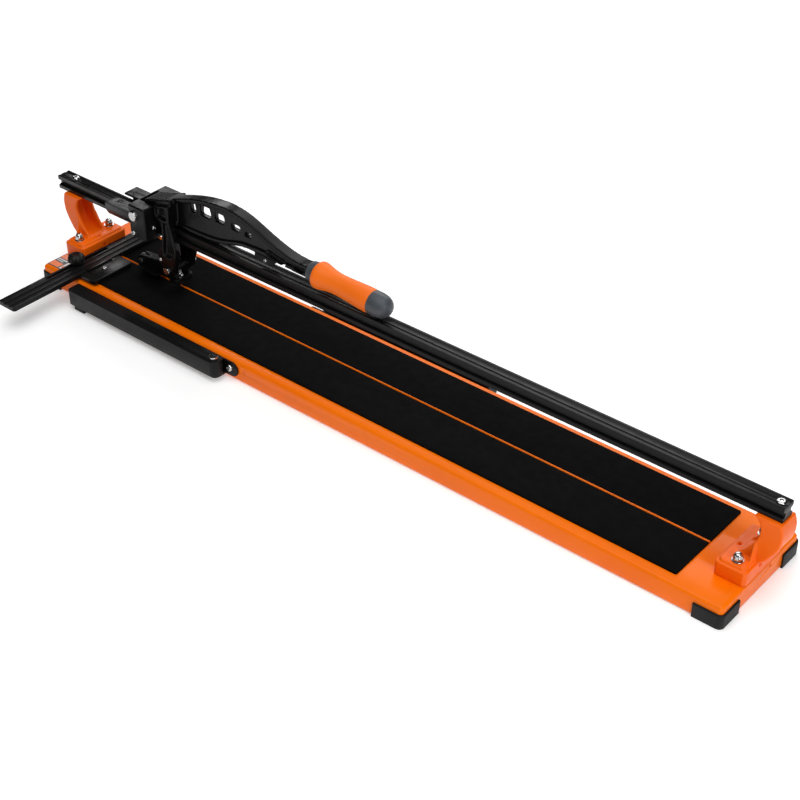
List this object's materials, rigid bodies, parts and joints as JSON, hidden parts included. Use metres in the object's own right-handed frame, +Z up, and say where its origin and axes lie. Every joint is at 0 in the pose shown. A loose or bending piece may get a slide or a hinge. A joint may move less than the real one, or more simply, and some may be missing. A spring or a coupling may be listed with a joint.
{
  "type": "manual tile cutter",
  "caption": "Manual rail tile cutter: flat bed with mats, two towers, a grooved rail, and a sliding carriage with a hand lever, scoring wheel, breaking foot, ruler fence and swing-out arms.",
  "frame": {"origin": "on the ground under the middle of the whole tool, the fence bar and the folded support arms included", "axes": "+X along the rail towards the end the handle points to, +Y across the bed away from the side the fence bar sticks out of, +Z up"},
  "size_m": [1.4314, 0.3664, 0.238],
  "materials": {
    "orange_steel": "gloss",
    "orange_casting": "satin",
    "mat_rubber": "matte",
    "foot_rubber": "matte",
    "chrome": "polished",
    "black_aluminium": "satin",
    "black_casting": "satin",
    "black_steel": "satin",
    "label": "satin",
    "steel": "satin",
    "carbide": "satin",
    "grip_rubber": "satin",
    "grey_plastic": "satin",
    "knob_plastic": "satin"
  },
  "bodies": {
    "base": {"base_tray": "orange_steel", "mat_near": "mat_rubber", "mat_far": "mat_rubber", "breaking_ridge": "orange_steel", "corner_foot_near_left": "foot_rubber", "corner_foot_far_left": "foot_rubber", "corner_foot_near_right": "foot_rubber", "corner_foot_far_right": "foot_rubber", "tower_left": "orange_casting", "tower_right": "orange_casting", "tower_bolts": "chrome", "tower_washers": "chrome", "tower_cap_nuts": "chrome", "rail": "black_aluminium", "rail_bolts": "chrome", "rail_nuts": "chrome", "label_plate": "label", "fence_stud": "steel", "arm_bracket_near": "black_steel", "arm_bracket_far": "black_steel", "arm_pivot_bolts": "chrome", "arm_bracket_bolts": "chrome"},
    "carriage": {"carriage_block": "black_casting", "bearing_cover_near": "black_steel", "bearing_cover_far": "black_steel", "roller_axles": "steel", "lever_pivot_bolt": "chrome", "lever_pivot_nut": "chrome", "carriage_screws": "chrome"},
    "roller_near_1": {"guide_roller_near_1": "steel"},
    "roller_near_2": {"guide_roller_near_2": "steel"},
    "roller_far_1": {"guide_roller_far_1": "steel"},
    "roller_far_2": {"guide_roller_far_2": "steel"},
    "lever": {"lever_arm": "black_casting", "grip_collar": "grey_plastic", "grip_sleeve": "grip_rubber", "grip_cap": "grey_plastic", "lever_bumper": "foot_rubber", "bumper_screw": "chrome", "cross_shaft": "chrome", "cross_shaft_nut": "chrome", "foot_spring": "steel", "wheel_holder": "black_steel", "wheel_axle": "steel", "holder_screws": "chrome"},
    "wheel": {"scoring_wheel": "carbide"},
    "breaker": {"breaking_foot": "black_steel", "foot_pads": "foot_rubber", "foot_screw": "chrome"},
    "fence": {"fence_bar": "black_aluminium"},
    "stop": {"side_stop": "black_aluminium", "side_stop_screw": "chrome"},
    "knob": {"fence_knob": "knob_plastic"},
    "arm_near": {"support_arm_near": "black_aluminium", "arm_foot_near": "foot_rubber"},
    "arm_far": {"support_arm_far": "black_aluminium", "arm_foot_far": "foot_rubber"}
  },
  "joints": [
    {"name": "carriage_slide", "type": "slide", "parent": "base", "child": "carriage", "axis": [1, 0, 0], "range_m": [-0.045, 1.035]},
    {"name": "lever_swing", "type": "hinge", "parent": "carriage", "child": "lever", "pos_m": [-0.48125, 0.05475, 0.174], "axis": [0, -1, 0], "range_deg": [0, 30]},
    {"name": "wheel_spin", "type": "hinge", "parent": "lever", "child": "wheel", "pos_m": [-0.52025, 0.05475, 0.058], "axis": [0, 1, 0], "continuous": true},
    {"name": "foot_tilt", "type": "hinge", "parent": "lever", "child": "breaker", "pos_m": [-0.43125, 0.05475, 0.079], "axis": [0, 1, 0], "range_deg": [-15, 15]},
    {"name": "fence_slide", "type": "slide", "parent": "base", "child": "fence", "axis": [0, 1, 0], "range_m": [-0.06, 0.06]},
    {"name": "stop_slide", "type": "slide", "parent": "fence", "child": "stop", "axis": [0, 1, 0], "range_m": [-0.13, 0.08]},
    {"name": "knob_turn", "type": "hinge", "parent": "base", "child": "knob", "pos_m": [-0.61225, -0.02025, 0.056], "axis": [0, 0, 1], "continuous": true},
    {"name": "arm_near_swing", "type": "hinge", "parent": "base", "child": "arm_near", "pos_m": [-0.23025, -0.06525, 0.024], "axis": [0, 0, 1], "range_deg": [0, 90]},
    {"name": "arm_far_swing", "type": "hinge", "parent": "base", "child": "arm_far", "pos_m": [-0.19425, 0.17025, 0.024], "axis": [0, 0, 1], "range_deg": [0, 90]},
    {"name": "roller_near_1_spin", "type": "hinge", "parent": "carriage", "child": "roller_near_1", "pos_m": [-0.51325, 0.03815, 0.1448], "axis": [0, 0, 1], "continuous": true},
    {"name": "roller_near_2_spin", "type": "hinge", "parent": "carriage", "child": "roller_near_2", "pos_m": [-0.54825, 0.03815, 0.1448], "axis": [0, 0, 1], "continuous": true},
    {"name": "roller_far_1_spin", "type": "hinge", "parent": "carriage", "child": "roller_far_1", "pos_m": [-0.51325, 0.07135, 0.1448], "axis": [0, 0, 1], "continuous": true},
    {"name": "roller_far_2_spin", "type": "hinge", "parent": "carriage", "child": "roller_far_2", "pos_m": [-0.54825, 0.07135, 0.1448], "axis": [0, 0, 1], "continuous": true}
  ],
  "couplings": [
    {"joint": "roller_near_1_spin", "follows": "carriage_slide", "rad_per_m": 105.26},
    {"joint": "roller_near_2_spin", "follows": "carriage_slide", "rad_per_m": 105.26},
    {"joint": "roller_far_1_spin", "follows": "carriage_slide", "rad_per_m": -105.26},
    {"joint": "roller_far_2_spin", "follows": "carriage_slide", "rad_per_m": -105.26}
  ]
}
